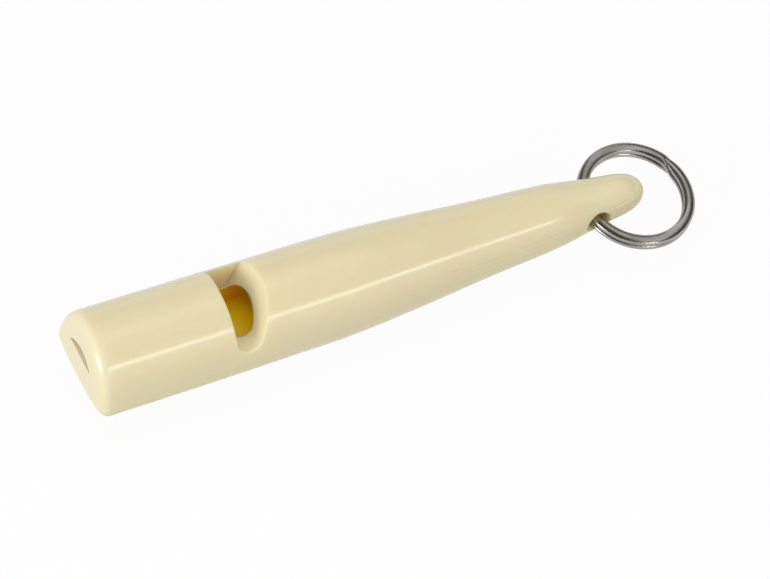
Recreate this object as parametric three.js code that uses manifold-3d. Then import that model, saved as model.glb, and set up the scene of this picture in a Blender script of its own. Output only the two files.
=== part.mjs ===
// Moulded dog whistle with a split ring. Millimetres, +Z up, +X from the mouthpiece to the tail.
// The object is laid out about the barrel's axis (z = 0) with the mouth end at x = 0,
// then all of it is moved so that the origin lies under the middle of its box.
import * as THREE from 'three';
import { mergeVertices } from 'three/addons/utils/BufferGeometryUtils.js';
import Module from 'manifold-3d';

const wasm = await Module();
wasm.setup();

// Lengths of the body
const bodyLength = 82.7;
const bellyAt = 38.7;
const overrun = 2;

// Mouth end section: half width, and heights above and below the barrel's axis
const mouthHalfWidth = 7.91;
const mouthTop = 7.43;
const mouthBottom = 2.35;
const mouthEdgeRound = 1.73;
const leanFade = 12.75;
const leanShare = 0.114;

// Belly section, which is nearly round
const bellyHalfWidth = 6.95;
const bellyTop = 6.85;
const bellyBottom = 6.9;
const restFlatDepth = 0.06;

// How square each section is (2 is an ellipse), and how much its sides draw in
const mouthTopPowerShare = 2.51;
const mouthBottomPowerShare = 3.62;
const ellipsePowerShare = 2;
const mouthTopDrawShare = 0.223;
const mouthBottomDrawShare = -0.074;

// Taper of the barrel: places as shares of the way from belly to tip, sizes as shares of the belly's
const taperAtShares = [0.182, 0.455, 0.682, 0.864, 1];
const taperSizeShares = [0.92, 0.758, 0.643, 0.456, 0.362];
const leadIn = 10;
const tipRoundLength = 6;
const tipPowerShare = 4;

// Notch across the top: upright front wall, round bottom, ramp up to the crown.
// It runs out through the near side and stops short of the far side, which keeps a wall.
const notchWallAt = 20.4;
const notchRootRadius = 1.8;
const notchRootHeight = 3.15;
const notchRampShare = 62 / 180;
const notchFarReach = 4.6;

// Bore with a round roof and a flat floor, blind at the far end
const boreRoofRadius = 4.6;
const boreCentreHeight = -0.6;
const boreFloorHeight = -1.25;
const boreEndAt = 36.7;

// Block in the mouth end, whose top is the floor of the windway
const blockClearance = 0.3;
const blockTopAtMouth = 2.5;
const blockTopAtNotch = 2.8;

// Hole through the tail for the ring, with rounded mouths
const holeFromTip = 7.8;
const holeHeight = -0.4;
const holeRadius = 1.74;
const holeStraightHalf = 0.8;
const holeMouthRound = 6.5;

// Split ring: one flat steel wire in two turns
const ringStandout = 0.4;
const wireRadial = 1.4;
const wireAxial = 0.7;
const wireBevel = 0.25;
const turnGap = 0.45;
const ringPlay = 0.57;
const ringDroopShare = 9.8 / 180;
const ringLeanShare = 9.6 / 180;
const stepStartShare = 15 / 360;
const stepEndShare = 37.5 / 360;

// Finish of each piece
const ivory = 0xe6dbbb;
const ivoryInside = 0xd9c78f;
const steel = 0x9f9d97;

// Numbers of facets
const aroundBody = 64;
const mouthStations = 8;
const edgeStations = 5;
const taperStations = 20;
const tipStations = 9;
const arcSteps = 24;
const turnSteps = 24;
const stepZoneSteps = 4;

// Places and sizes that follow from the ones above
const tipRoundFrom = bodyLength - tipRoundLength;
const holeAt = bodyLength - holeFromTip;
const ringOuterRadius = mouthHalfWidth + ringStandout;

const lerp = THREE.MathUtils.lerp;
const clamp = THREE.MathUtils.clamp;

/** Steps from one value to another, both ends kept. */
function range(from, to, steps) {
  return Array.from({ length: steps + 1 }, (_, i) => lerp(from, to, i / steps));
}

/** One monotone cubic curve through named stations, for the taper. */
function monotone(stations, values) {
  const count = stations.length;
  const widths = stations.slice(1).map((station, i) => station - stations[i]);
  const slopes = widths.map((width, i) => (values[i + 1] - values[i]) / width);
  const tangents = values.map((_, i) => {
    if (i === 0) return slopes[0];
    if (i === count - 1) return slopes[count - 2];
    if (slopes[i - 1] * slopes[i] <= 0) return 0;
    const before = 2 * widths[i] + widths[i - 1];
    const after = widths[i] + 2 * widths[i - 1];
    return (before + after) / (before / slopes[i - 1] + after / slopes[i]);
  });
  return (x) => {
    let i = 0;
    while (i < count - 2 && x > stations[i + 1]) i += 1;
    const u = clamp((x - stations[i]) / widths[i], 0, 1);
    const rise = (1 + 2 * u) * (1 - u) ** 2 * values[i] + u * u * (3 - 2 * u) * values[i + 1];
    const turn = u * (1 - u) ** 2 * tangents[i] - u * u * (1 - u) * tangents[i + 1];
    return rise + turn * widths[i];
  };
}

/** A measure that runs straight from the mouth, rounds over the belly and then follows the taper. */
function alongBody(mouth, belly) {
  const slope = (belly - mouth) / bellyAt;
  const taperAt = taperAtShares.map((share) => lerp(bellyAt, bodyLength, share));
  const taperSizes = taperSizeShares.map((share) => belly * share);
  const curve = monotone([bellyAt - leadIn, bellyAt, ...taperAt], [belly - slope * leadIn, belly, ...taperSizes]);
  return (x) => (x < bellyAt - leadIn ? mouth + slope * x : curve(x));
}

const halfWidthAt = alongBody(mouthHalfWidth, bellyHalfWidth);
const topAt = alongBody(mouthTop, bellyTop);
const bottomAt = alongBody(mouthBottom, bellyBottom);

/** How far the round tip has closed in at a station, 1 where it has not begun. */
function tipClose(x) {
  const u = clamp((x - tipRoundFrom) / (bodyLength - tipRoundFrom), 0, 1);
  return Math.sqrt(1 - u ** tipPowerShare);
}

/** The outline of the body at a station, drawn in by an inset at the mouth's edge. */
function bodySection(x, inset) {
  const share = clamp(x / bellyAt, 0, 1);
  const close = tipClose(x);
  const halfWidth = halfWidthAt(x) * close - inset;
  const points = [];
  for (let i = 0; i < aroundBody; i += 1) {
    const angle = (2 * Math.PI * i) / aroundBody;
    const cos = Math.cos(angle);
    const sin = Math.sin(angle);
    const above = sin >= 0;
    const power = lerp(above ? mouthTopPowerShare : mouthBottomPowerShare, ellipsePowerShare, share);
    const draw = lerp(above ? mouthTopDrawShare : mouthBottomDrawShare, 0, share);
    const across = Math.sign(cos) * Math.abs(cos) ** (2 / power);
    const up = Math.abs(sin) ** (2 / power);
    const bottom = bottomAt(x) * close - inset;
    const deep = x > bellyAt ? bottom : bottom + restFlatDepth;
    const z = above ? (topAt(x) * close - inset) * up : Math.max(-deep * up, -bottom);
    const y = halfWidth * across * (1 - draw * up);
    const lean = x < leanFade ? leanShare * (z + mouthBottom) * (1 - x / leanFade) : 0;
    points.push(new THREE.Vector3(x + lean, y, z));
  }
  return points;
}

/** A closed body through sections of equal count; a last single point closes to a tip. */
function loft(sections, tip) {
  const count = sections[0].length;
  const positions = sections.flat();
  const index = [];
  for (let s = 0; s + 1 < sections.length; s += 1) {
    for (let i = 0; i < count; i += 1) {
      const a = s * count + i;
      const b = s * count + ((i + 1) % count);
      index.push(a, b, a + count, b, b + count, a + count);
    }
  }
  const addFan = (first, centre, flip) => {
    positions.push(centre);
    const middle = positions.length - 1;
    for (let i = 0; i < count; i += 1) {
      const a = first + i;
      const b = first + ((i + 1) % count);
      index.push(middle, flip ? b : a, flip ? a : b);
    }
  };
  const middleOf = (section) => section.reduce((sum, point) => sum.clone().add(point)).divideScalar(count);
  const last = (sections.length - 1) * count;
  addFan(0, middleOf(sections[0]), true);
  addFan(last, tip ?? middleOf(sections.at(-1)), false);
  const geometry = new THREE.BufferGeometry();
  geometry.setAttribute('position', new THREE.Float32BufferAttribute(positions.flatMap((p) => p.toArray()), 3));
  geometry.setIndex(index);
  return outward(geometry);
}

/** Turns every triangle round when a closed geometry has its faces inward. */
function outward(geometry) {
  const position = geometry.getAttribute('position');
  const index = geometry.getIndex();
  const [a, b, c] = [new THREE.Vector3(), new THREE.Vector3(), new THREE.Vector3()];
  let volume = 0;
  for (let i = 0; i < index.count; i += 3) {
    a.fromBufferAttribute(position, index.getX(i));
    b.fromBufferAttribute(position, index.getX(i + 1));
    c.fromBufferAttribute(position, index.getX(i + 2));
    volume += a.dot(b.cross(c));
  }
  if (volume < 0) {
    for (let i = 0; i < index.count; i += 3) {
      const second = index.getX(i + 1);
      index.setX(i + 1, index.getX(i + 2));
      index.setX(i + 2, second);
    }
  }
  return geometry;
}

/** A solid that can be joined and cut. */
function solid(geometry) {
  const bare = geometry.clone();
  bare.deleteAttribute('normal');
  bare.deleteAttribute('uv');
  const merged = outward(mergeVertices(bare));
  return new wasm.Manifold(new wasm.Mesh({
    numProp: 3,
    vertProperties: new Float32Array(merged.getAttribute('position').array),
    triVerts: new Uint32Array(merged.getIndex().array),
  }));
}

/** The geometry of a finished solid. */
function finished(shape) {
  const mesh = shape.getMesh();
  const geometry = new THREE.BufferGeometry();
  geometry.setAttribute('position', new THREE.BufferAttribute(new Float32Array(mesh.vertProperties), 3));
  geometry.setIndex(new THREE.BufferAttribute(new Uint32Array(mesh.triVerts), 1));
  return geometry;
}

// Outer shape of the body, from the mouth's rounded edge to the tip
const sections = [];
for (const turn of range(0, Math.PI / 2, edgeStations)) {
  const inset = mouthEdgeRound * (1 - Math.sin(turn));
  sections.push(bodySection(mouthEdgeRound * (1 - Math.cos(turn)), inset));
}
const fadeStations = range(mouthEdgeRound, leanFade, mouthStations).slice(1);
const straightStations = range(leanFade, bellyAt, mouthStations).slice(1);
const barrelStations = range(bellyAt, tipRoundFrom, taperStations).slice(1);
const tipStationsAt = range(0, 1, tipStations).slice(1, -1).map(
  (s) => lerp(tipRoundFrom, bodyLength, 1 - (1 - s) ** 2),
);
for (const x of [...fadeStations, ...straightStations, ...barrelStations, ...tipStationsAt]) {
  sections.push(bodySection(x, 0));
}
const outer = loft(sections, new THREE.Vector3(bodyLength, 0, 0));

// Notch, drawn from the side and run from beyond the near side to the wall on the far side
const rampAngle = notchRampShare * Math.PI;
const notchRootAt = notchWallAt + notchRootRadius;
const rampFootAt = notchRootAt + notchRootRadius * Math.sin(rampAngle);
const rampFootHeight = notchRootHeight - notchRootRadius * Math.cos(rampAngle);
const notchTop = mouthTop + overrun;
const notchWidth = mouthHalfWidth + overrun + notchFarReach;
const notchOutline = new THREE.Shape();
notchOutline.moveTo(notchWallAt, notchTop);
notchOutline.lineTo(notchWallAt, notchRootHeight);
notchOutline.absarc(notchRootAt, notchRootHeight, notchRootRadius, Math.PI, Math.PI + Math.PI / 2 + rampAngle, false);
notchOutline.lineTo(rampFootAt + (notchTop - rampFootHeight) / Math.tan(rampAngle), notchTop);
notchOutline.closePath();
const notch = new THREE.ExtrudeGeometry(notchOutline, {
  depth: notchWidth,
  bevelEnabled: false,
  curveSegments: arcSteps,
});
notch.rotateX(Math.PI / 2);
notch.translate(0, notchFarReach, 0);

/** Points of a round-roofed section, from its floor up to a flat top where it has one. */
function roofedSection(radius, floorHeight, topHeight) {
  const start = Math.asin((floorHeight - boreCentreHeight) / radius);
  const end = Math.asin(clamp((topHeight - boreCentreHeight) / radius, -1, 1));
  const right = range(start, end, arcSteps / 2).map(
    (angle) => [radius * Math.cos(angle), boreCentreHeight + radius * Math.sin(angle)],
  );
  const left = right.map(([y, z]) => [-y, z]).reverse();
  return [...right, ...left];
}

// Bore, from beyond the mouth end to its blind end
const crownHeight = boreCentreHeight + boreRoofRadius;
const boreOutline = roofedSection(boreRoofRadius, boreFloorHeight, crownHeight);
boreOutline.splice(arcSteps / 2, 1);
const boreLoft = [-overrun, boreEndAt].map((x) => boreOutline.map(([y, z]) => new THREE.Vector3(x, y, z)));
const bore = loft(boreLoft);

// Ring hole, turned about the crosswise axis, straight in the middle and rounded out to both sides
const flareHalf = holeStraightHalf + holeMouthRound;
const flare = range(0, Math.PI / 2, arcSteps / 3).map((angle) => new THREE.Vector2(
  holeRadius + holeMouthRound * (1 - Math.cos(angle)),
  holeStraightHalf + holeMouthRound * Math.sin(angle),
));
const holeProfile = [
  new THREE.Vector2(0, -flareHalf),
  ...flare.map((point) => new THREE.Vector2(point.x, -point.y)).reverse(),
  ...flare,
  new THREE.Vector2(0, flareHalf),
];
const hole = new THREE.LatheGeometry(holeProfile, 2 * arcSteps);
hole.translate(holeAt, 0, holeHeight);

const bodyShape = [notch, bore, hole].reduce((shape, cut) => shape.subtract(solid(cut)), solid(outer));

// Windway block: its mouth face leans with the body's, its far face is upright
const blockSection = (x, top) => roofedSection(
  boreRoofRadius - blockClearance,
  boreFloorHeight + blockClearance,
  top,
).map(([y, z]) => {
  const lean = x === 0 ? leanShare * (z + mouthBottom) : 0;
  return new THREE.Vector3(x + lean, y, z);
});
const block = loft([blockSection(0, blockTopAtMouth), blockSection(notchWallAt, blockTopAtNotch)]);

// Split ring: its middle hangs from the hole, drooping and leaning a little
const ringMidRadius = ringOuterRadius - wireRadial / 2;
const droop = ringDroopShare * Math.PI;
const lean = ringLeanShare * Math.PI;
const outFromHole = new THREE.Vector3(Math.cos(droop), 0, -Math.sin(droop));
const upright = new THREE.Vector3(Math.sin(droop), 0, Math.cos(droop));
const ringNormal = upright.clone().multiplyScalar(Math.cos(lean)).add(new THREE.Vector3(0, -Math.sin(lean), 0));
const ringAcross = ringNormal.clone().cross(outFromHole);
const ringCentre = new THREE.Vector3(holeAt, 0, holeHeight).addScaledVector(outFromHole, ringMidRadius - ringPlay);

/** How far up its stack the wire runs after a share of a turn: -1 in the lower turn, 1 in the upper. */
function stackSide(turns) {
  const u = clamp((turns - stepStartShare) / (stepEndShare - stepStartShare), 0, 1);
  return 2 * u * u * (3 - 2 * u) - 1;
}

/** The six corners of the wire's section after a share of a turn. */
function wireSection(turns) {
  const angle = 2 * Math.PI * turns;
  const radial = outFromHole.clone().multiplyScalar(Math.cos(angle)).addScaledVector(ringAcross, Math.sin(angle));
  const lift = (stackSide(turns) * (wireAxial + turnGap)) / 2;
  const corners = [
    [wireRadial / 2, 0],
    [wireRadial / 2 - wireBevel, wireAxial / 2],
    [wireBevel - wireRadial / 2, wireAxial / 2],
    [-wireRadial / 2, 0],
    [wireBevel - wireRadial / 2, -wireAxial / 2],
    [wireRadial / 2 - wireBevel, -wireAxial / 2],
  ];
  return corners.map(([out, up]) => ringCentre.clone()
    .addScaledVector(radial, ringMidRadius + out)
    .addScaledVector(ringNormal, lift + up));
}

/** Turns at whole steps of the circle, from one value up to another. */
function wholeSteps(from, to) {
  const first = Math.ceil(from * turnSteps);
  const last = Math.floor(to * turnSteps);
  return range(first, last, last - first).map((step) => step / turnSteps);
}

// The wire: a lower turn, the step up, and an upper turn, with both ends beside the step
const wireTurns = [
  stepEndShare - 1,
  ...wholeSteps(stepEndShare - 1, 0),
  ...range(stepStartShare, stepEndShare, stepZoneSteps),
  ...wholeSteps(stepEndShare, stepStartShare + 1),
];
const wireSections = wireTurns.map(wireSection);
const ring = loft(wireSections);

/** Least distance from the wire to its own next turn, on points of its faces. */
function leastSelfGap() {
  const fine = range(0, 1, arcSteps / 6).slice(1);
  const points = [];
  for (let s = 1; s < wireSections.length; s += 1) {
    for (const share of fine) {
      const rim = wireSections[s].map((corner, i) => wireSections[s - 1][i].clone().lerp(corner, share));
      const turns = lerp(wireTurns[s - 1], wireTurns[s], share);
      rim.forEach((corner, i) => {
        for (const along of fine) {
          points.push({ turns, at: corner.clone().lerp(rim[(i + 1) % rim.length], along) });
        }
      });
    }
  }
  let least = Infinity;
  for (const one of points) {
    for (const other of points) {
      if (other.turns - one.turns > 1 / 2) least = Math.min(least, one.at.distanceTo(other.at));
    }
  }
  return least;
}
console.log(`split_ring least gap to itself ${leastSelfGap().toFixed(3)} mm`);

/** A named piece with its own material. */
function piece(name, geometry, color, roughness, metalness) {
  const shown = geometry.toNonIndexed();
  shown.computeVertexNormals();
  const mesh = new THREE.Mesh(shown, new THREE.MeshStandardMaterial({ color, roughness, metalness, name }));
  mesh.name = name;
  return mesh;
}

const plasticRoughness = 0.3;
const steelRoughness = 0.25;
const whistle = new THREE.Group();
whistle.name = 'dog_whistle';
whistle.add(
  piece('whistle_body', finished(bodyShape), ivory, plasticRoughness, 0),
  piece('windway_block', block, ivoryInside, plasticRoughness, 0),
  piece('split_ring', ring, steel, steelRoughness, 1),
);

// The origin goes under the middle of the whole box
const box = new THREE.Box3().setFromObject(whistle);
const middle = box.getCenter(new THREE.Vector3());
for (const mesh of whistle.children) {
  mesh.geometry.translate(-middle.x, -middle.y, -box.min.z);
}
console.log(`moved by ${(-middle.x).toFixed(4)} ${(-middle.y).toFixed(4)} ${(-box.min.z).toFixed(4)} mm`);

export default whistle;
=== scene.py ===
"""Gives the moulded dog whistle its finished shapes, its finishes, its light and its camera."""

import logging
import math
from dataclasses import dataclass, field
from enum import Enum

import bpy
import numpy as np
from mathutils import Matrix, Vector


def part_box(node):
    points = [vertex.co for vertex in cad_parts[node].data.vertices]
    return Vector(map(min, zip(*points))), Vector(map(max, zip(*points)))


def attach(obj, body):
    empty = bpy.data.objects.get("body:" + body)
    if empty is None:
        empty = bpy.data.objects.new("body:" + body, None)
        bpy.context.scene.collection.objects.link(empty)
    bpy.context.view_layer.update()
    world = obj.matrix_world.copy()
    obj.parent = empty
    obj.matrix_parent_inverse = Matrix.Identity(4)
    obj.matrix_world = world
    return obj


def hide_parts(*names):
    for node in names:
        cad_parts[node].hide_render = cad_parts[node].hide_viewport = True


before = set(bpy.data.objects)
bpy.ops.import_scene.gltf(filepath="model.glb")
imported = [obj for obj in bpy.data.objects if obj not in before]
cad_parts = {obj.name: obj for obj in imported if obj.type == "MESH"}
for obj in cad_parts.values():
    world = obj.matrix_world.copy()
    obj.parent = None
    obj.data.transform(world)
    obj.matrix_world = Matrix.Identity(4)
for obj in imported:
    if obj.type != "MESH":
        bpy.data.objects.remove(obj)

LOG = logging.getLogger("dog_whistle")
MM = 0.001
IMAGE_WIDTH = 770
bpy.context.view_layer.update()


class Body(Enum):
    """The two bodies that the swing joint links."""

    WHISTLE = "whistle"
    RING = "ring"


class Slot(Enum):
    """The record's material slots."""

    BODY = "body_plastic"
    BLOCK = "block_plastic"
    RING = "ring_steel"


def linear(red: int, green: int, blue: int) -> tuple[float, float, float, float]:
    """Turns a colour as seen on a screen into the renderer's linear one.

    Args:
        red: Red from 0 to 255.
        green: Green from 0 to 255.
        blue: Blue from 0 to 255.

    Returns:
        The linear colour with full alpha.
    """
    shares = (value / 255 for value in (red, green, blue))
    return (*(s / 12.92 if s <= 0.04045 else ((s + 0.055) / 1.055) ** 2.4 for s in shares), 1.0)


def mix(start: float, end: float, share: float) -> float:
    """Returns the value that lies a share of the way from start to end."""
    return start + (end - start) * share


def steps(start: float, end: float, count: int) -> list[float]:
    """Returns count + 1 even values from start to end."""
    return [mix(start, end, i / count) for i in range(count + 1)]


class Wire:
    """A node socket that takes part in Python arithmetic."""

    def __init__(self, graph: "Graph", socket: bpy.types.NodeSocket) -> None:
        """Keeps the graph and the output socket."""
        self.graph = graph
        self.socket = socket

    def _math(self, operation: str, *values: "Wire | float") -> "Wire":
        """Adds one Math node over the values."""
        inputs = dict(enumerate(values))
        return self.graph.node("ShaderNodeMath", {"operation": operation}, inputs).out()

    def __add__(self, other: "Wire | float") -> "Wire":
        """Returns the sum."""
        return self._math("ADD", self, other)

    __radd__ = __add__

    def __sub__(self, other: "Wire | float") -> "Wire":
        """Returns the difference."""
        return self._math("SUBTRACT", self, other)

    def __rsub__(self, other: float) -> "Wire":
        """Returns the difference from a number."""
        return self._math("SUBTRACT", other, self)

    def __mul__(self, other: "Wire | float") -> "Wire":
        """Returns the product."""
        return self._math("MULTIPLY", self, other)

    def __truediv__(self, other: "Wire | float") -> "Wire":
        """Returns the quotient."""
        return self._math("DIVIDE", self, other)

    def __pow__(self, other: "Wire | float") -> "Wire":
        """Returns the power."""
        return self._math("POWER", self, other)

    def __abs__(self) -> "Wire":
        """Returns the size without the sign."""
        return self._math("ABSOLUTE", self)

    def highest(self, other: "Wire | float") -> "Wire":
        """Returns the larger of two values."""
        return self._math("MAXIMUM", self, other)

    def between(self, low: float, high: float) -> "Wire":
        """Rises smoothly from 0 at low to 1 at high, or falls if low is the larger.

        Args:
            low: The value at which the result is 0.
            high: The value at which the result is 1.

        Returns:
            The smooth step.
        """
        flip = low > high
        first, last = (high, low) if flip else (low, high)
        settings = {"interpolation_type": "SMOOTHSTEP"}
        limits = {"Value": self, "From Min": first, "From Max": last}
        rise = self.graph.node("ShaderNodeMapRange", settings, limits).out()
        return 1 - rise if flip else rise


class Made:
    """A node just made, whose outputs are read by name or place."""

    def __init__(self, graph: "Graph", node: bpy.types.Node) -> None:
        """Keeps the graph and the node."""
        self.graph = graph
        self.node = node

    def out(self, key: str | int = 0) -> Wire:
        """Returns an output as a wire."""
        return Wire(self.graph, self.node.outputs[key])


class Graph:
    """Builds the nodes of one material or world."""

    def __init__(self, tree: bpy.types.NodeTree) -> None:
        """Clears the tree and keeps it."""
        self.tree = tree
        tree.nodes.clear()

    def node(self, kind: str, settings: dict | None = None, inputs: dict | None = None) -> Made:
        """Makes a node, sets it and feeds it.

        Args:
            kind: Blender's name of the node type.
            settings: Properties of the node, set before its sockets.
            inputs: Values or wires by socket name or place.

        Returns:
            The made node.
        """
        made = self.tree.nodes.new(kind)
        for name, value in (settings or {}).items():
            setattr(made, name, value)
        for key, value in (inputs or {}).items():
            self.feed(made.inputs[key], value)
        return Made(self, made)

    def feed(self, socket: bpy.types.NodeSocket, value: "Wire | float | tuple") -> None:
        """Links a wire to a socket, or sets the socket's own value."""
        if isinstance(value, Wire):
            self.tree.links.new(value.socket, socket)
        else:
            socket.default_value = value

    def blend(self, share: Wire | float, start: Wire | tuple, end: Wire | tuple) -> Wire:
        """Mixes two colours.

        Args:
            share: How much of the second colour there is.
            start: The first colour.
            end: The second colour.

        Returns:
            The mixed colour.
        """
        made = self.node("ShaderNodeMix", {"data_type": "RGBA"}, {0: share, 6: start, 7: end})
        return made.out(2)

    def place(self) -> tuple[Wire, Wire, Wire, Wire]:
        """Returns the point on the object as a vector, and its x, y and z in metres."""
        point = self.node("ShaderNodeTexCoord").out("Object")
        parts = self.node("ShaderNodeSeparateXYZ", inputs={0: point})
        return point, parts.out("X"), parts.out("Y"), parts.out("Z")

    def noise(self, point: Wire, scale: float, detail: float = 2.0) -> Wire:
        """Returns a soft noise from 0 to 1 over a vector."""
        inputs = {"Vector": point, "Scale": scale, "Detail": detail}
        return self.node("ShaderNodeTexNoise", inputs=inputs).out()

    def seen(self) -> Wire:
        """Returns 1 for rays that show a surround as it is, and 0 for those that light things."""
        rays = self.node("ShaderNodeLightPath")
        shown = rays.out("Is Camera Ray").highest(rays.out("Is Glossy Ray"))
        return shown.highest(rays.out("Is Transmission Ray"))


@dataclass
class Axes:
    """Where the barrel's axis lies in the object's frame, from the carried-over solids."""

    length_mm: float = 82.7
    height_mm: float = 6.9

    def __post_init__(self) -> None:
        """Works out the move from the axis layout to the object's frame, in metres."""
        low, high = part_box("whistle_body")
        self.shift = Vector((high[0] - self.length_mm * MM, 0.0, low[2] + self.height_mm * MM))

    def point(self, x: float, y: float, z: float) -> Vector:
        """Turns a point in millimetres about the axis into one in the object's frame."""
        return Vector((x, y, z)) * MM + self.shift


@dataclass(frozen=True)
class Ivory:
    """The glossy, slightly translucent plastic of the moulding, with a painted glow of deep yellow
    inside the bore.
    """

    name: str
    colour: tuple[float, float, float, float] = linear(235, 224, 186)
    mottle: tuple[float, float, float, float] = linear(222, 205, 160)
    mottle_share: float = 0.10
    # deep: a painted glow, the deep yellow that stands in for light coming through the translucent walls
    # into the bore.
    deep: tuple[float, float, float, float] = linear(255, 214, 20)
    roughness: float = 0.17
    rougher: float = 0.06
    cloud_scale: float = 90.0
    cloud_detail: float = 3.0
    ripple_scale: float = 260.0
    ripple_strength: float = 0.06
    ripple_mm: float = 0.2
    index: float = 1.5
    subsurface: float = 0.8
    subsurface_mm: float = 2.6
    subsurface_reach: tuple[float, float, float] = (1.0, 0.7, 0.35)
    # Where the painted glow of deep yellow fills the bore, in millimetres about the axis.
    painted_glow_roof_mm: tuple[float, float] = (0.2, -0.05)
    painted_glow_floor_mm: tuple[float, float] = (-0.6, -0.2)
    painted_glow_from_mm: tuple[float, float] = (19.9, 20.9)
    painted_glow_to_mm: tuple[float, float] = (37.7, 37.2)
    edge_round_mm: float = 0.3
    seam_depth_mm: float = 4.0
    seam_reach_mm: float = 0.9
    firm_until_mm: float = 1.5
    firm_fade_mm: float = 4.5
    crease_mm: float = 1.3
    crease_rise_mm: float = 1.0
    crease_half_mm: float = 0.22
    crease_climb_mm: tuple[float, float] = (58.0, 50.0)
    crease_from_mm: tuple[float, float] = (48.0, 54.0)
    crease_side_mm: tuple[float, float] = (0.0, -1.0)
    crease_strength: float = 0.35
    crease_deep_mm: float = 0.12

    def material(self, axes: Axes, bore: "BoreSizes") -> bpy.types.Material:
        """Makes the material.

        Args:
            axes: Where the barrel's axis lies.
            bore: The bore, whose inside is painted deep yellow as a glow of light through the walls.

        Returns:
            The finished material.
        """
        material = bpy.data.materials.new(self.name)
        material.use_nodes = True
        graph = Graph(material.node_tree)
        point, x, y, z = graph.place()
        shift = axes.shift
        along = (x - shift.x) / MM
        across = y / MM
        up = (z - shift.z) / MM
        from_centre = (across * across + (up - bore.centre_mm) ** 2) ** 0.5
        # Painted glow: inside the bore, from the slot's wall to the blind end, the colour turns deep
        # yellow to stand in for light filtered through the translucent walls.
        inside = from_centre.between(*(bore.roof_radius_mm + edge for edge in self.painted_glow_roof_mm))
        above_floor = up.between(*(bore.floor_mm + edge for edge in self.painted_glow_floor_mm))
        beyond_wall = along.between(*self.painted_glow_from_mm) * along.between(*self.painted_glow_to_mm)
        painted_glow = inside * beyond_wall * above_floor
        cloud = graph.noise(point, self.cloud_scale, self.cloud_detail)
        mottled = graph.blend(cloud * self.mottle_share, self.colour, self.mottle)
        colour = graph.blend(painted_glow, mottled, self.deep)
        bump = graph.node("ShaderNodeBump", inputs={
            "Strength": self.ripple_strength,
            "Distance": self.ripple_mm * MM,
            "Height": graph.noise(point, self.ripple_scale),
        })
        crease_at = self.crease_mm + along.between(*self.crease_climb_mm) * self.crease_rise_mm
        off_crease = abs(up - crease_at).between(0.0, self.crease_half_mm)
        near_tail = across.between(*self.crease_side_mm) * along.between(*self.crease_from_mm)
        parting = graph.node("ShaderNodeBump", inputs={
            "Strength": self.crease_strength,
            "Distance": self.crease_deep_mm * MM,
            "Height": 1 - (1 - off_crease) * near_tail,
            "Normal": bump.out(),
        })
        if self.edge_round_mm > 0:
            bevel = graph.node("ShaderNodeBevel", {"samples": 6}, {"Radius": self.edge_round_mm * MM})
            reach = self.seam_reach_mm
            by_bore = from_centre.between(bore.roof_radius_mm + reach, bore.roof_radius_mm + reach / 2)
            by_seam = along.between(self.seam_depth_mm, 0.0) * by_bore
            plain = graph.node("ShaderNodeNewGeometry").out("Normal")
            normals = {0: by_seam, 4: bevel.out(), 5: plain}
            eased = graph.node("ShaderNodeMix", {"data_type": "VECTOR"}, normals)
            graph.feed(bump.node.inputs["Normal"], eased.out(1))
        finish = {
            "Base Color": colour,
            "Roughness": self.roughness + cloud * self.rougher,
            "IOR": self.index,
            "Normal": parting.out(),
        }
        soft = graph.node("ShaderNodeBsdfPrincipled", {"subsurface_method": "RANDOM_WALK"}, {
            **finish,
            "Subsurface Weight": self.subsurface,
            "Subsurface Radius": self.subsurface_reach,
            "Subsurface Scale": self.subsurface_mm * MM,
        })
        firm = graph.node("ShaderNodeBsdfPrincipled", inputs=finish)
        mouth_end = along.between(self.firm_fade_mm, self.firm_until_mm)
        blend = graph.node("ShaderNodeMixShader", inputs={0: mouth_end, 1: soft.out(), 2: firm.out()})
        graph.node("ShaderNodeOutputMaterial", inputs={"Surface": blend.out()})
        return material


@dataclass(frozen=True)
class NickelSteel:
    """Bright plated steel wire, a little tarnished."""

    name: str = "nickel_steel"
    light: tuple[float, float, float, float] = linear(176, 172, 170)
    dark: tuple[float, float, float, float] = linear(150, 147, 138)
    roughness: float = 0.2
    rougher: float = 0.12
    patch_scale: float = 140.0
    patch_edges: tuple[float, float] = (0.3, 0.7)

    def material(self) -> bpy.types.Material:
        """Makes and returns the material."""
        material = bpy.data.materials.new(self.name)
        material.use_nodes = True
        graph = Graph(material.node_tree)
        point, _x, _y, _z = graph.place()
        patches = graph.noise(point, self.patch_scale).between(*self.patch_edges)
        shader = graph.node("ShaderNodeBsdfPrincipled", inputs={
            "Base Color": graph.blend(patches, self.light, self.dark),
            "Metallic": 1.0,
            "Roughness": self.roughness + patches * self.rougher,
        })
        graph.node("ShaderNodeOutputMaterial", inputs={"Surface": shader.out()})
        return material


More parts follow.
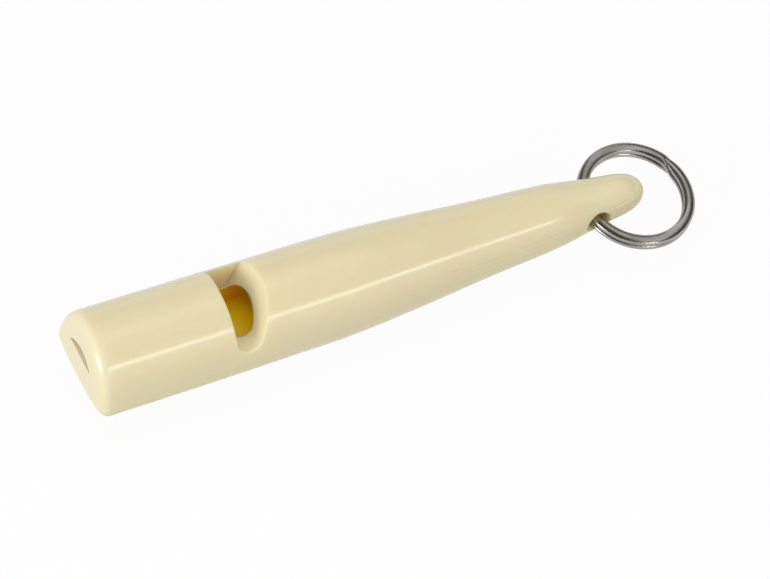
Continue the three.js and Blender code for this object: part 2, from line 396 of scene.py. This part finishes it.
class Maker:
    """Turns point lists into Blender objects."""

    def __init__(self, axes: Axes) -> None:
        """Keeps where the barrel's axis lies."""
        self.axes = axes

    def object(
        self, name: str, points: list[Vector], faces: list[tuple[int, ...]],
    ) -> bpy.types.Object:
        """Makes a mesh object from points laid out about the barrel's axis in millimetres.

        Args:
            name: The piece's name.
            points: Its corners.
            faces: Its faces by corner number.

        Returns:
            The linked object.
        """
        mesh = bpy.data.meshes.new(name)
        mesh.from_pydata([self.axes.point(*point) for point in points], [], faces)
        mesh.validate()
        piece = bpy.data.objects.new(name, mesh)
        bpy.context.scene.collection.objects.link(piece)
        return piece

    def loft(
        self, name: str, sections: list[list[Vector]], tip: Vector | None = None,
    ) -> bpy.types.Object:
        """Joins sections of equal count into a closed piece.

        Args:
            name: The piece's name.
            sections: Outlines in order.
            tip: A last point that closes the far end, or None for a flat end.

        Returns:
            The closed piece, its faces outward.
        """
        count = len(sections[0])
        points = [point for section in sections for point in section]
        rows = [range(s * count, (s + 1) * count) for s in range(len(sections))]
        faces = [
            (near[i], near[(i + 1) % count], far[(i + 1) % count], far[i])
            for near, far in zip(rows, rows[1:])
            for i in range(count)
        ]
        last = (len(sections) - 1) * count
        faces.append(tuple(range(count - 1, -1, -1)))
        if tip is None:
            faces.append(tuple(range(last, last + count)))
        else:
            points.append(tip)
            faces += [(last + i, last + (i + 1) % count, len(points) - 1) for i in range(count)]
        piece = self.object(name, points, faces)
        self.face_outward(piece)
        return piece

    @staticmethod
    def face_outward(piece: bpy.types.Object) -> None:
        """Turns a closed mesh's faces outward if its volume comes out negative."""
        mesh = piece.data
        mesh.calc_loop_triangles()
        corners = np.array([vertex.co for vertex in mesh.vertices])
        triangles = np.array([triangle.vertices for triangle in mesh.loop_triangles])
        a, b, c = (corners[triangles[:, i]] for i in range(3))
        if np.einsum("ij,ij->i", a, np.cross(b, c)).sum() < 0:
            mesh.flip_normals()

    @staticmethod
    def cut(piece: bpy.types.Object, tools: list[bpy.types.Object]) -> None:
        """Cuts tools out of a piece and deletes them.

        Args:
            piece: The piece that stays.
            tools: The closed shapes that are taken away.
        """
        for tool in tools:
            modifier = piece.modifiers.new(tool.name, "BOOLEAN")
            modifier.operation = "DIFFERENCE"
            modifier.solver = "EXACT"
            modifier.object = tool
        graph = bpy.context.evaluated_depsgraph_get()
        cut_mesh = bpy.data.meshes.new_from_object(piece.evaluated_get(graph))
        piece.modifiers.clear()
        piece.data = cut_mesh
        for tool in tools:
            bpy.data.objects.remove(tool)

    @staticmethod
    def dress(piece: bpy.types.Object, material: bpy.types.Material, sharp_deg: float) -> None:
        """Gives a piece its material and smooths it between its sharp edges.

        Args:
            piece: The piece.
            material: Its finish.
            sharp_deg: The angle from which an edge stays sharp.
        """
        piece.data.materials.clear()
        piece.data.materials.append(material)
        piece.data.polygons.foreach_set("use_smooth", [True] * len(piece.data.polygons))
        piece.data.set_sharp_from_angle(angle=math.radians(sharp_deg))


@dataclass(frozen=True)
class BoreSizes:
    """The bore and the windway block, in millimetres about the barrel's axis."""

    roof_radius_mm: float = 4.6
    centre_mm: float = -0.6
    floor_mm: float = -1.25
    end_mm: float = 36.7
    seam_mm: float = 0.004
    block_top_mouth_mm: float = 2.5
    block_top_notch_mm: float = 2.8

    def section(self, inset: float, top: float | None, arc_steps: int) -> list[tuple[float, float]]:
        """Draws the round-roofed section, or its part below a flat top.

        Args:
            inset: How far it is drawn in all round.
            top: The height of the flat top, or None for the whole roof.
            arc_steps: Steps along each side's arc.

        Returns:
            Points across and up.
        """
        radius = self.roof_radius_mm - inset
        start = math.asin((self.floor_mm + inset - self.centre_mm) / radius)
        end = math.pi / 2 if top is None else math.asin((top - self.centre_mm) / radius)
        right = [
            (radius * math.cos(angle), self.centre_mm + radius * math.sin(angle))
            for angle in steps(start, end, arc_steps)
        ]
        left = [(-across, up) for across, up in reversed(right)]
        return right + (left[1:] if top is None else left)


@dataclass
class WhistleBody:
    """The one-piece moulding: lofted shell, cross-cut slot, blind bore and ring hole."""

    maker: Maker
    bore: BoreSizes
    length_mm: float = 82.7
    belly_at_mm: float = 38.7
    mouth_mm: tuple[float, float, float] = (7.91, 7.43, 2.35)
    belly_mm: tuple[float, float, float] = (6.95, 6.85, 6.9)
    rest_flat_mm: float = 0.06
    edge_round_mm: float = 1.73
    face_trim_mm: float = 0.04
    lean_fade_mm: float = 12.75
    lean_share: float = 0.114
    top_power: float = 2.51
    bottom_power: float = 3.62
    top_draw: float = 0.223
    bottom_draw: float = -0.074
    taper_at_shares: tuple[float, ...] = (0.182, 0.455, 0.682, 0.864, 1.0)
    taper_size_shares: tuple[float, ...] = (0.92, 0.758, 0.643, 0.456, 0.362)
    lead_in_mm: float = 10.0
    tip_round_mm: float = 6.0
    tip_power: float = 4.0
    wall_at_mm: float = 20.4
    root_radius_mm: float = 1.8
    root_height_mm: float = 3.15
    ramp_deg: float = 62.0
    notch_far_mm: float = 4.6
    hole_from_tip_mm: float = 7.8
    hole_height_mm: float = -0.4
    hole_radius_mm: float = 1.42
    hole_straight_mm: float = 1.6
    hole_mouth_round_mm: float = 3.7
    overrun_mm: float = 2.0
    around: int = 224
    edge_steps: int = 14
    lean_steps: int = 16
    mouth_steps: int = 40
    tail_steps: int = 60
    tip_steps: int = 28
    root_steps: int = 28
    roof_steps: int = 40
    flare_steps: int = 24
    hole_around: int = 72
    sharp_deg: float = 24.0
    curves: list = field(default_factory=list)

    def __post_init__(self) -> None:
        """Works out the three measures that run along the body."""
        self.curves = [self.monotone(mouth, belly) for mouth, belly in zip(self.mouth_mm, self.belly_mm)]

    def monotone(self, mouth: float, belly: float) -> tuple[list[float], list[float], list[float]]:
        """Fits one smooth curve from a little before the belly to the tip.

        Args:
            mouth: The measure at the mouth.
            belly: The measure at the belly.

        Returns:
            The stations, the values there and the slopes there.
        """
        slope = (belly - mouth) / self.belly_at_mm
        at = [self.belly_at_mm - self.lead_in_mm, self.belly_at_mm]
        at += [mix(self.belly_at_mm, self.length_mm, share) for share in self.taper_at_shares]
        values = [belly - slope * self.lead_in_mm, belly]
        values += [belly * share for share in self.taper_size_shares]
        widths = [b - a for a, b in zip(at, at[1:])]
        rises = [(b - a) / width for a, b, width in zip(values, values[1:], widths)]
        slopes = [rises[0]]
        for i in range(1, len(rises)):
            if rises[i - 1] * rises[i] <= 0:
                slopes.append(0.0)
                continue
            before = 2 * widths[i] + widths[i - 1]
            after = widths[i] + 2 * widths[i - 1]
            slopes.append((before + after) / (before / rises[i - 1] + after / rises[i]))
        slopes.append(rises[-1])
        return at, values, slopes

    def measure(self, which: int, x: float) -> float:
        """Reads one measure at a station.

        Args:
            which: 0 for the half width, 1 for the height above the axis, 2 for the depth below it.
            x: The station.

        Returns:
            The measure there, the tip's rounding included.
        """
        mouth, belly = self.mouth_mm[which], self.belly_mm[which]
        if x < self.belly_at_mm - self.lead_in_mm:
            return mix(mouth, belly, x / self.belly_at_mm)
        at, values, slopes = self.curves[which]
        i = max(k for k in range(len(at) - 1) if at[k] <= x or k == 0)
        width = at[i + 1] - at[i]
        u = min(max((x - at[i]) / width, 0.0), 1.0)
        rise = (1 + 2 * u) * (1 - u) ** 2 * values[i] + u * u * (3 - 2 * u) * values[i + 1]
        turn = (u * (1 - u) ** 2 * slopes[i] - u * u * (1 - u) * slopes[i + 1]) * width
        start = self.length_mm - self.tip_round_mm
        close = math.sqrt(max(1 - max((x - start) / self.tip_round_mm, 0.0) ** self.tip_power, 0.0))
        return (rise + turn) * close

    def section(self, x: float, inset: float) -> list[Vector]:
        """Draws the outline at a station.

        Args:
            x: The station.
            inset: How far the outline is drawn in, at the mouth's edge.

        Returns:
            Points round the outline.
        """
        share = min(x / self.belly_at_mm, 1.0)
        half_width, top, bottom = (self.measure(which, x) - inset for which in range(3))
        deep = bottom if x > self.belly_at_mm else bottom + self.rest_flat_mm
        points = []
        for i in range(self.around):
            angle = 2 * math.pi * i / self.around
            cos, sin = math.cos(angle), math.sin(angle)
            above = sin >= 0
            power = mix(self.top_power if above else self.bottom_power, 2.0, share)
            draw = mix(self.top_draw if above else self.bottom_draw, 0.0, share)
            up = abs(sin) ** (2 / power)
            across = math.copysign(abs(cos) ** (2 / power), cos)
            z = top * up if above else max(-deep * up, -bottom)
            y = half_width * across * (1 - draw * up)
            fade = max(1 - x / self.lean_fade_mm, 0.0)
            lean = self.lean_share * (z + self.mouth_mm[2]) * fade
            points.append(Vector((x + lean, y, z)))
        return points

    def shell(self) -> bpy.types.Object:
        """Lofts the outer shape, from the mouth's rounded edge to the tip."""
        sections = []
        for turn in steps(0.0, math.pi / 2, self.edge_steps):
            inset = self.edge_round_mm * (1 - math.sin(turn))
            start = mix(self.face_trim_mm, self.edge_round_mm, 1 - math.cos(turn))
            sections.append(self.section(start, inset))
        tip_start = self.length_mm - self.tip_round_mm
        stations = steps(self.edge_round_mm, self.lean_fade_mm, self.lean_steps)[1:]
        stations += steps(self.lean_fade_mm, self.belly_at_mm, self.mouth_steps)[1:]
        stations += steps(self.belly_at_mm, tip_start, self.tail_steps)[1:]
        shares = steps(0.0, 1.0, self.tip_steps)[1:-1]
        stations += [mix(tip_start, self.length_mm, 1 - (1 - s) ** 2) for s in shares]
        sections += [self.section(x, 0.0) for x in stations]
        return self.maker.loft("whistle_body_look", sections, Vector((self.length_mm, 0.0, 0.0)))

    def notch(self) -> bpy.types.Object:
        """Draws the slot's outline from the side and runs it out through the near side only."""
        ramp = math.radians(self.ramp_deg)
        root_at = self.wall_at_mm + self.root_radius_mm
        top = self.mouth_mm[1] + self.overrun_mm
        foot_x = root_at + self.root_radius_mm * math.sin(ramp)
        foot_z = self.root_height_mm - self.root_radius_mm * math.cos(ramp)
        outline = [(self.wall_at_mm, top)]
        for angle in steps(math.pi, 1.5 * math.pi + ramp, self.root_steps):
            x = root_at + self.root_radius_mm * math.cos(angle)
            outline.append((x, self.root_height_mm + self.root_radius_mm * math.sin(angle)))
        outline.append((foot_x + (top - foot_z) / math.tan(ramp), top))
        near = self.mouth_mm[0] + self.overrun_mm
        sections = [[Vector((x, y, z)) for x, z in outline] for y in (-near, self.notch_far_mm)]
        return self.maker.loft("slot_cut", sections)

    def bore_cut(self) -> bpy.types.Object:
        """Runs the bore's section from beyond the mouth to its blind end."""
        outline = self.bore.section(0.0, None, self.roof_steps)
        ends = (-self.overrun_mm, self.bore.end_mm)
        return self.maker.loft("bore_cut", [[Vector((x, y, z)) for y, z in outline] for x in ends])

    def hole_cut(self) -> bpy.types.Object:
        """Turns the ring hole about its crosswise axis, with rounded mouths."""
        flare = [
            (
                self.hole_radius_mm + self.hole_mouth_round_mm * (1 - math.cos(angle)),
                self.hole_straight_mm + self.hole_mouth_round_mm * math.sin(angle),
            )
            for angle in steps(0.0, math.pi / 2, self.flare_steps)
        ]
        profile = [(radius, -along) for radius, along in reversed(flare)] + flare
        centre = Vector((self.length_mm - self.hole_from_tip_mm, 0.0, self.hole_height_mm))
        sections = []
        for radius, along in profile:
            angles = [2 * math.pi * i / self.hole_around for i in range(self.hole_around)]
            circle = [Vector((radius * math.cos(a), along, radius * math.sin(a))) for a in angles]
            sections.append([centre + point for point in circle])
        return self.maker.loft("hole_cut", sections)

    def build(self) -> bpy.types.Object:
        """Makes the moulding, dresses it and puts it in the place of its solid."""
        piece = self.shell()
        self.maker.cut(piece, [self.notch(), self.bore_cut(), self.hole_cut()])
        ivory = Ivory("ivory_plastic").material(self.maker.axes, self.bore)
        self.maker.dress(piece, ivory, self.sharp_deg)
        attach(piece, Body.WHISTLE.value)
        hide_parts("whistle_body")
        return piece


@dataclass
class WindwayBlock:
    """The plug in the mouth end, whose flat top is the windway's floor."""

    maker: Maker
    bore: BoreSizes
    wall_at_mm: float = 20.4
    lean_share: float = 0.114
    mouth_bottom_mm: float = 2.35
    face_trim_mm: float = 0.04
    arc_steps: int = 24
    sharp_deg: float = 30.0

    def section(self, x: float, top: float, lean: float) -> list[Vector]:
        """Draws the block's outline at one of its ends.

        Args:
            x: The end's station.
            top: The height of the flat top there.
            lean: How far the end leans along the barrel for each millimetre of height.

        Returns:
            Points round the outline.
        """
        outline = self.bore.section(self.bore.seam_mm, top, self.arc_steps)
        return [Vector((x + lean * (z + self.mouth_bottom_mm), y, z)) for y, z in outline]

    def build(self) -> bpy.types.Object:
        """Makes the block, dresses it and puts it in the place of its solid."""
        near = self.section(self.face_trim_mm, self.bore.block_top_mouth_mm, self.lean_share)
        far = self.section(self.wall_at_mm, self.bore.block_top_notch_mm, 0.0)
        piece = self.maker.loft("windway_block_look", [near, far])
        ivory = Ivory("block_plastic", edge_round_mm=0.0).material(self.maker.axes, self.bore)
        self.maker.dress(piece, ivory, self.sharp_deg)
        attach(piece, Body.WHISTLE.value)
        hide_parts("windway_block")
        return piece


@dataclass
class SplitRing:
    """Two turns of flat steel wire with a step between them."""

    maker: Maker
    hole_at_mm: float = 74.9
    hole_height_mm: float = -0.4
    outer_radius_mm: float = 8.29
    seat_from_hole_mm: float = 7.04
    wire_radial_mm: float = 1.58
    wire_axial_mm: float = 0.89
    power: float = 2.4
    around: int = 28
    turn_gap_mm: float = 0.03
    end_mm: float = 0.06
    taper_share: float = 0.85
    droop_deg: float = 9.8
    lean_deg: float = 9.6
    step_start: float = 15 / 360
    step_end: float = 37.5 / 360
    per_turn: int = 144
    sharp_deg: float = 40.0

    def __post_init__(self) -> None:
        """Works out the ring's centre and its three directions."""
        droop, lean = math.radians(self.droop_deg), math.radians(self.lean_deg)
        self.out = Vector((math.cos(droop), 0.0, -math.sin(droop)))
        upright = Vector((math.sin(droop), 0.0, math.cos(droop)))
        self.normal = upright * math.cos(lean) + Vector((0.0, -math.sin(lean), 0.0))
        self.across = self.normal.cross(self.out)
        hole = Vector((self.hole_at_mm, 0.0, self.hole_height_mm))
        self.centre = hole + self.out * self.seat_from_hole_mm
        self.mid_radius = self.outer_radius_mm - self.wire_radial_mm / 2

    def wire_corners(self, thick: float) -> list[tuple[float, float]]:
        """Draws the wire's rounded section.

        Args:
            thick: How thick the wire is there, along the stack.

        Returns:
            Points outward from the middle of the wire and up the stack.
        """
        narrow = (thick / self.wire_axial_mm) ** (1 / self.power)
        corners = []
        for i in range(self.around):
            angle = 2 * math.pi * i / self.around
            cos, sin = math.cos(angle), math.sin(angle)
            out = math.copysign(abs(cos) ** (2 / self.power), cos) * self.wire_radial_mm * narrow / 2
            up = math.copysign(abs(sin) ** (2 / self.power), sin) * thick / 2
            corners.append((out, up))
        return corners

    def section(self, turns: float) -> list[Vector]:
        """Places the wire's section, thinned where an end of the wire meets the step.

        Args:
            turns: How far round the section is, in turns.

        Returns:
            Points round the section.
        """
        angle = 2 * math.pi * turns
        radial = self.out * math.cos(angle) + self.across * math.sin(angle)
        pitch = self.wire_axial_mm + self.turn_gap_mm
        lift = (self.risen(turns) - 0.5) * pitch
        thick = self.wire_axial_mm
        if turns < self.step_end - 1:
            thick = max(self.risen(turns + 1) * pitch - self.turn_gap_mm, self.end_mm)
            lift -= (self.wire_axial_mm - thick) / 2
        elif turns > self.step_start + 1:
            thick = max((1 - self.risen(turns - 1)) * pitch - self.turn_gap_mm, self.end_mm)
            lift += (self.wire_axial_mm - thick) / 2
        return [
            self.centre + radial * (self.mid_radius + out) + self.normal * (lift + up)
            for out, up in self.wire_corners(thick)
        ]

    def risen(self, turns: float) -> float:
        """Works out how far the wire has stepped up.

        Args:
            turns: How far round the place is, in turns.

        Returns:
            0 before the step and 1 after it.
        """
        u = min(max((turns - self.step_start) / (self.step_end - self.step_start), 0.0), 1.0)
        return u * u * (3 - 2 * u)

    def build(self) -> bpy.types.Object:
        """Makes the ring, dresses it and puts it in the place of its solid."""
        taper = self.step_end - self.step_start
        start = self.step_end - 1 - taper * self.taper_share
        end = self.step_start + 1 + taper * self.taper_share
        count = round((end - start) * self.per_turn)
        sections = [self.section(turns) for turns in steps(start, end, count)]
        piece = self.maker.loft("split_ring_look", sections)
        self.maker.dress(piece, NickelSteel().material(), self.sharp_deg)
        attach(piece, Body.RING.value)
        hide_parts("split_ring")
        return piece


@dataclass(frozen=True)
class Softbox:
    """One rectangular lamp: its direction from the whistle, distance, size and power."""

    name: str
    toward: tuple[float, float, float]
    distance_m: float
    size_m: tuple[float, float]
    watts: float


@dataclass
class Studio:
    """Camera, floor, lamps and surroundings."""

    axes: Axes
    focal_px: float = 6718.3
    sensor_mm: float = 36.0
    distance_mm: float = 899.1
    aim_mm: tuple[float, float, float] = (41.7, 0.0, 0.0)
    offset_mm: tuple[float, float] = (2.70, -1.81)
    right: tuple[float, float, float] = (0.9147, -0.4028, 0.0317)
    toward: tuple[float, float, float] = (-0.2746, -0.5621, 0.7802)
    clip_m: tuple[float, float] = (0.05, 20.0)
    world_level: float = 0.5
    white: tuple[float, float, float, float] = (1.0, 1.0, 1.0, 1.0)
    floor_colour: tuple[float, float, float, float] = (0.6, 0.6, 0.59, 1.0)
    floor_half_m: float = 3.0
    floor_drop_m: float = 0.0002
    floor_shown: float = 0.96
    lamps: tuple[Softbox, ...] = (
        Softbox("shoulder_box", (0.27, -0.82, 0.51), 0.6, (0.35, 0.036), 0.6),
        Softbox("top_box", (-0.1, 0.25, 1.0), 0.8, (0.7, 0.5), 1.7),
        Softbox("end_box", (-0.9, -0.25, 0.36), 0.6, (0.3, 0.2), 1.6),
    )
    card_reaches: tuple[tuple[str, float, float], ...] = (
        ("card_left", -0.13, 0.042),
        ("card_right", 0.088, 0.26),
    )
    ring_mm: tuple[float, float, float] = (81.8, 0.0, -1.6)
    card_height: float = 0.1
    card_half: float = 0.2
    card_colour: tuple[float, float, float, float] = (0.05, 0.05, 0.035, 1.0)

    def camera(self) -> bpy.types.Object:
        """Makes the camera that matches the photograph's view."""
        toward = Vector(self.toward).normalized()
        right = Vector(self.right)
        right = (right - toward * right.dot(toward)).normalized()
        up = toward.cross(right)
        data = bpy.data.cameras.new("camera")
        data.sensor_fit = "HORIZONTAL"
        data.sensor_width = self.sensor_mm
        data.lens = self.focal_px / IMAGE_WIDTH * self.sensor_mm
        data.clip_start, data.clip_end = self.clip_m
        camera = bpy.data.objects.new("camera", data)
        bpy.context.scene.collection.objects.link(camera)
        away = right * self.offset_mm[0] + up * self.offset_mm[1] + toward * self.distance_mm
        place = self.axes.point(*self.aim_mm) + away * MM
        turn = Matrix((right, up, toward)).transposed().to_4x4()
        camera.matrix_world = Matrix.Translation(place) @ turn
        bpy.context.scene.camera = camera
        return camera

    def floor(self) -> bpy.types.Object:
        """Lays the pale floor just under the belly."""
        half = self.floor_half_m
        mesh = bpy.data.meshes.new("floor")
        corners = [(-half, -half, 0.0), (half, -half, 0.0), (half, half, 0.0), (-half, half, 0.0)]
        mesh.from_pydata(corners, [], [(0, 1, 2, 3)])
        floor = bpy.data.objects.new("floor", mesh)
        floor.location.z = -self.floor_drop_m
        bpy.context.scene.collection.objects.link(floor)
        material = bpy.data.materials.new("floor_white")
        material.use_nodes = True
        graph = Graph(material.node_tree)
        shown = graph.seen() * self.floor_shown
        matt = graph.node("ShaderNodeBsdfDiffuse", inputs={"Color": self.floor_colour})
        white = graph.node("ShaderNodeEmission", inputs={"Color": self.white, "Strength": 1.0})
        blend = graph.node("ShaderNodeMixShader", inputs={0: shown, 1: matt.out(), 2: white.out()})
        graph.node("ShaderNodeOutputMaterial", inputs={"Surface": blend.out()})
        mesh.materials.append(material)
        return floor

    def world(self) -> None:
        """Sets a white surround for the camera and a plain level of light."""
        world = bpy.data.worlds.new("studio")
        bpy.context.scene.world = world
        world.use_nodes = True
        graph = Graph(world.node_tree)
        strength = self.world_level + graph.seen() * (1 - self.world_level)
        back = graph.node("ShaderNodeBackground", inputs={"Color": self.white, "Strength": strength})
        graph.node("ShaderNodeOutputWorld", inputs={"Surface": back.out()})

    def lamp(self, box: Softbox) -> None:
        """Hangs a softbox that faces the whistle."""
        data = bpy.data.lights.new(box.name, "AREA")
        data.shape = "RECTANGLE"
        data.size, data.size_y = box.size_m
        data.energy = box.watts
        lamp = bpy.data.objects.new(box.name, data)
        toward = Vector(box.toward)
        lamp.location = self.axes.point(*self.aim_mm) + toward.normalized() * box.distance_m
        lamp.rotation_euler = toward.to_track_quat("Z", "Y").to_euler()
        bpy.context.scene.collection.objects.link(lamp)

    def card(self, name: str, near: float, far: float) -> None:
        """Lays a dark card over the ring that shows only in reflections.

        Args:
            name: The card's name.
            near: Where it starts along the barrel from the ring's middle, in metres.
            far: Where it ends.
        """
        mesh = bpy.data.meshes.new(name)
        half = self.card_half
        corners = [(near, -half, 0.0), (far, -half, 0.0), (far, half, 0.0), (near, half, 0.0)]
        mesh.from_pydata(corners, [], [(0, 1, 2, 3)])
        card = bpy.data.objects.new(name, mesh)
        card.location = self.axes.point(*self.ring_mm) + Vector((0.0, 0.0, self.card_height))
        bpy.context.scene.collection.objects.link(card)
        material = bpy.data.materials.new(name)
        material.use_nodes = True
        graph = Graph(material.node_tree)
        dark = graph.node("ShaderNodeEmission", inputs={"Color": self.card_colour, "Strength": 1.0})
        graph.node("ShaderNodeOutputMaterial", inputs={"Surface": dark.out()})
        mesh.materials.append(material)
        for way in ("camera", "diffuse", "shadow", "transmission", "volume_scatter"):
            setattr(card, f"visible_{way}", False)

    def build(self) -> None:
        """Sets up the whole studio."""
        view = bpy.context.scene.view_settings
        view.view_transform = "Standard"
        self.camera()
        self.floor()
        self.world()
        for box in self.lamps:
            self.lamp(box)
        for name, near, far in self.card_reaches:
            self.card(name, near, far)


def main() -> None:
    """Builds every piece in order and reports it."""
    logging.basicConfig(level=logging.INFO, format="%(name)s: %(message)s")
    axes = Axes()
    maker = Maker(axes)
    bore = BoreSizes()
    Studio(axes).build()
    for part in (WhistleBody(maker, bore), WindwayBlock(maker, bore), SplitRing(maker)):
        piece = part.build()
        LOG.info("%s: %d faces", piece.name, len(piece.data.polygons))


if __name__ == "__main__":
    main()
